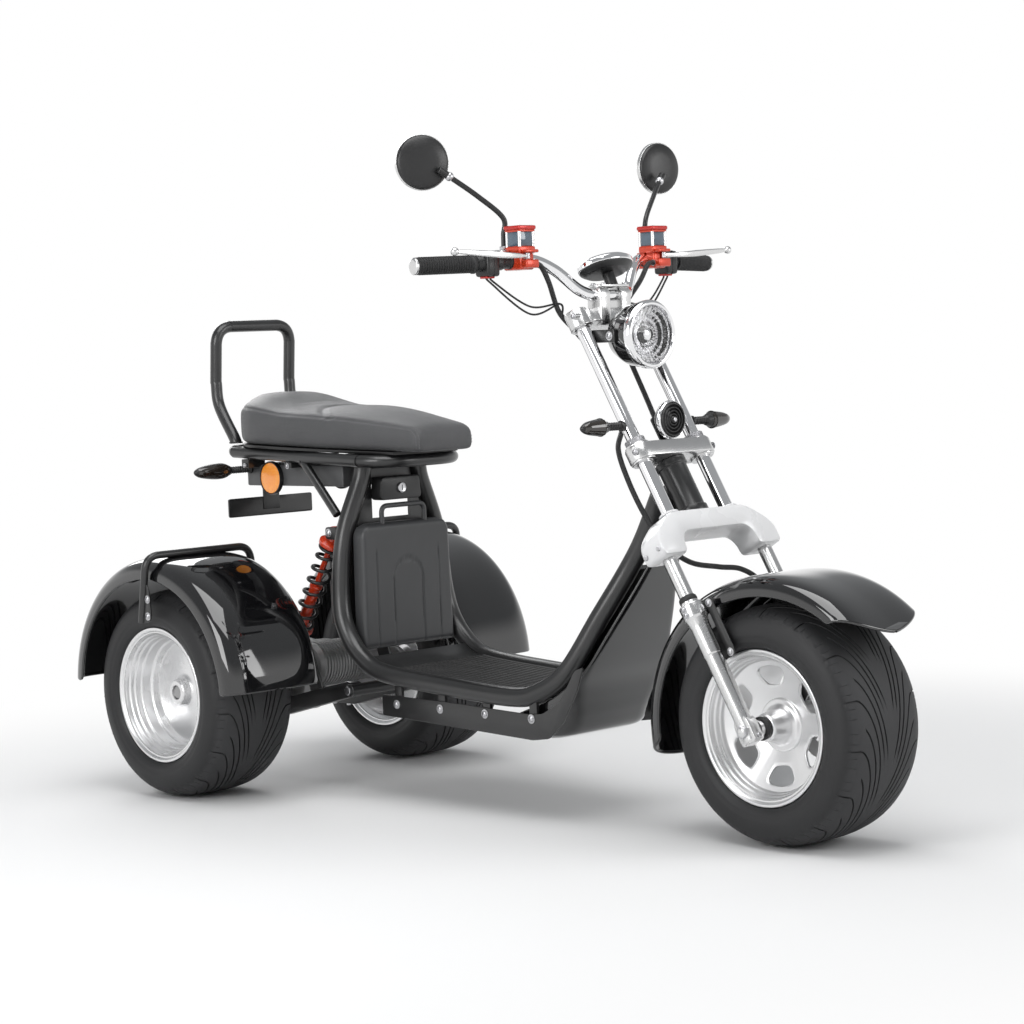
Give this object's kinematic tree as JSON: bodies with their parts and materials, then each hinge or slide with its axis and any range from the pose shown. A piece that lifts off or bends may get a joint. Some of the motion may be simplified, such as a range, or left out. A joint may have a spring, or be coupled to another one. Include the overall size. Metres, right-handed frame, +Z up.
{
  "type": "electric scooter",
  "caption": "Three-wheeled electric scooter with fat tyres, low chopper frame, raised rear seat with grab rail, wide bars and round mirrors.",
  "frame": {"origin": "on the ground under the middle of the vehicle's length", "axes": "+X forward, +Y to the rider's left, +Z up"},
  "size_m": [1.9062, 0.8786, 1.304],
  "materials": {
    "amber_lens": "amber reflector",
    "black_gloss_paint": "gloss black paint",
    "black_plastic": "black moulded plastic",
    "black_satin_paint": "satin black powder coat",
    "cast_alloy": "bare cast alloy",
    "chrome": "bright chrome",
    "grey_plastic": "dark grey moulded plastic",
    "polished_alloy": "polished aluminium",
    "red_lens": "clear red lens",
    "red_paint": "red-orange anodised and painted parts",
    "rubber": "black rubber",
    "seat_leather": "dark grey stitched cover over foam",
    "tyre_rubber": "black tyre rubber",
    "white_paint": "white paint"
  },
  "bodies": {
    "chassis": {"battery_lock": "black_plastic", "battery_pack": "grey_plastic", "drive_unit": "cast_alloy", "fender_guard_left": "black_satin_paint", "fender_guard_right": "black_satin_paint", "floor_mat": "rubber", "footwell": "black_satin_paint", "frame_tube_left": "black_satin_paint", "frame_tube_right": "black_satin_paint", "front_shell": "black_gloss_paint", "grab_rail": "black_satin_paint", "head_tube": "black_satin_paint", "rear_fender_left": "black_gloss_paint", "rear_fender_right": "black_gloss_paint", "rear_signal_left": "black_plastic", "rear_signal_right": "black_plastic", "rear_subframe": "black_satin_paint", "reflector_left": "amber_lens", "reflector_right": "amber_lens", "seat": "seat_leather", "seat_frame": "black_satin_paint", "seat_pan": "black_plastic", "shock_left": "red_paint", "shock_right": "red_paint", "skirt_left": "black_satin_paint", "skirt_right": "black_satin_paint", "tail_box": "grey_plastic", "tail_lamp": "red_lens", "tower_panel": "black_satin_paint"},
    "steering": {"control_left": "red_paint", "control_right": "red_paint", "dash": "black_plastic", "fork_leg_left": "polished_alloy", "fork_leg_right": "polished_alloy", "fork_tube_left": "chrome", "fork_tube_right": "chrome", "front_axle": "cast_alloy", "front_fender": "black_gloss_paint", "front_signal_left": "black_plastic", "front_signal_right": "black_plastic", "grip_left": "rubber", "grip_right": "rubber", "handlebar": "chrome", "headlight": "black_gloss_paint", "horn": "black_gloss_paint", "hose_left": "rubber", "hose_right": "rubber", "lever_left": "polished_alloy", "lever_right": "polished_alloy", "lower_brace": "white_paint", "middle_clamp": "polished_alloy", "mirror_left": "black_plastic", "mirror_right": "black_plastic", "top_clamp": "polished_alloy"},
    "front_wheel": {"front_rim": "polished_alloy", "front_tyre": "tyre_rubber"},
    "rear_wheel_right": {"rear_rim_right": "polished_alloy", "rear_tyre_right": "tyre_rubber"},
    "rear_wheel_left": {"rear_rim_left": "polished_alloy", "rear_tyre_left": "tyre_rubber"}
  },
  "joints": [
    {"name": "steer", "type": "hinge", "parent": "chassis", "child": "steering", "pos_m": [0.70966, 0, 0.21091], "axis": [-0.5075, 0, 0.8616], "range_deg": [-30, 30]},
    {"name": "front_wheel_spin", "type": "hinge", "parent": "steering", "child": "front_wheel", "pos_m": [0.72, 0, 0.217], "axis": [0, 1, 0], "continuous": true},
    {"name": "rear_wheel_right_spin", "type": "hinge", "parent": "chassis", "child": "rear_wheel_right", "pos_m": [-0.669, -0.2994, 0.217], "axis": [0, 1, 0], "continuous": true},
    {"name": "rear_wheel_left_spin", "type": "hinge", "parent": "chassis", "child": "rear_wheel_left", "pos_m": [-0.669, 0.2994, 0.217], "axis": [0, 1, 0], "continuous": true}
  ]
}
